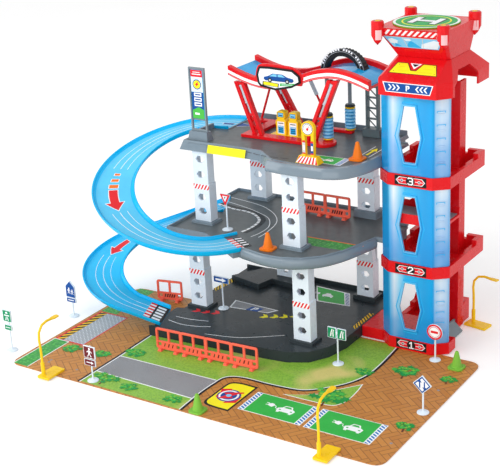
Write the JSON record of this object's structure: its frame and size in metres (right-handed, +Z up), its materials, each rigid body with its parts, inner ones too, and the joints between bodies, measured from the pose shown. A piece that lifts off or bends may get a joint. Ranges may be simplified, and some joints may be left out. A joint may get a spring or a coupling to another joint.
{
  "type": "toy parking garage",
  "caption": "Three-deck toy car garage with a hand-moved lift tower, curved ramps, road signs and a play mat.",
  "frame": {"origin": "middle of the footprint of the whole set, on the surface it stands on", "axes": "+X along the front edges towards the lift tower, +Y away from the front of the mat, +Z up"},
  "size_m": [0.4936, 0.3616, 0.3648],
  "materials": {
    "red_plastic": "glossy injection-moulded red",
    "dark_grey_plastic": "satin dark grey",
    "mid_grey_plastic": "satin grey",
    "light_grey_plastic": "satin light grey",
    "black_plastic": "satin black",
    "white_plastic": "glossy white",
    "blue_plastic": "glossy translucent-look blue",
    "clear_blue_plastic": "clear tinted blue sheet",
    "yellow_plastic": "glossy yellow",
    "orange_plastic": "satin orange",
    "green_plastic": "satin leaf green",
    "coral_plastic": "glossy coral red",
    "green_print": "satin green",
    "printed_sheet": "printed plastic play sheet"
  },
  "bodies": {
    "garage": {"canopy_stand": "red_plastic", "barrier_row_front": "coral_plastic", "ramp_upper": "blue_plastic", "deck_two": "mid_grey_plastic", "deck_three": "mid_grey_plastic", "ramp_lower": "blue_plastic", "base_deck": "dark_grey_plastic", "control_room": "red_plastic", "barrier_row_deck": "coral_plastic", "fuel_pumps": "yellow_plastic", "tower_section_1": "red_plastic", "canopy_frame": "red_plastic", "truss_tower": "dark_grey_plastic", "tyre_arch": "black_plastic", "barrier_rear": "coral_plastic", "street_lamp_1": "yellow_plastic", "street_lamp_2": "yellow_plastic", "street_lamp_3": "yellow_plastic", "sign_stop": "white_plastic", "tower_section_2": "red_plastic", "tower_section_3": "red_plastic", "sign_twin": "white_plastic", "column_1_front_left": "white_plastic", "column_1_front_right": "white_plastic", "column_1_rear_left": "white_plastic", "column_1_rear_right": "white_plastic", "column_2_front_left": "white_plastic", "column_2_front_right": "white_plastic", "column_2_rear_left": "white_plastic", "column_2_rear_right": "white_plastic", "cover_1": "clear_blue_plastic", "cover_2": "clear_blue_plastic", "cover_3": "clear_blue_plastic", "helipad_disc": "green_print", "spindle_front": "light_grey_plastic", "spindle_rear": "light_grey_plastic", "sign_walking": "white_plastic", "traffic_cone_1": "green_plastic", "traffic_cone_2": "green_plastic", "traffic_cone_3": "orange_plastic", "traffic_cone_4": "orange_plastic", "sign_direction": "white_plastic", "canopy_sheet": "blue_plastic", "roof_cap": "red_plastic", "gauge_stand": "yellow_plastic", "sign_post_brown": "white_plastic", "sign_arrow": "white_plastic", "sign_diamond": "white_plastic", "sign_yield": "white_plastic", "play_mat": "printed_sheet", "pylon_frame": "light_grey_plastic", "canopy_badge": "white_plastic", "pylon_board": "blue_plastic"},
    "lift": {"lift_tray": "red_plastic", "lift_floor": "light_grey_plastic", "lift_grip": "black_plastic"},
    "exit_flap": {"exit_flap": "light_grey_plastic"},
    "front_roller": {"roller_front": "blue_plastic"},
    "rear_roller": {"roller_rear": "blue_plastic"}
  },
  "joints": [
    {"name": "lift_slide", "type": "slide", "parent": "garage", "child": "lift", "axis": [0, 0, 1], "range_m": [-0.1335, 0.065]},
    {"name": "exit_flap_hinge", "type": "hinge", "parent": "garage", "child": "exit_flap", "pos_m": [0.18345, 0.11775, 0.0114], "axis": [0, -1, 0], "range_deg": [0, 45]},
    {"name": "front_roller_spin", "type": "hinge", "parent": "garage", "child": "front_roller", "pos_m": [0.04645, 0.10526, 0.231], "axis": [0, 0, 1], "continuous": true},
    {"name": "rear_roller_spin", "type": "hinge", "parent": "garage", "child": "rear_roller", "pos_m": [0.05095, 0.14875, 0.231], "axis": [0, 0, 1], "continuous": true}
  ]
}
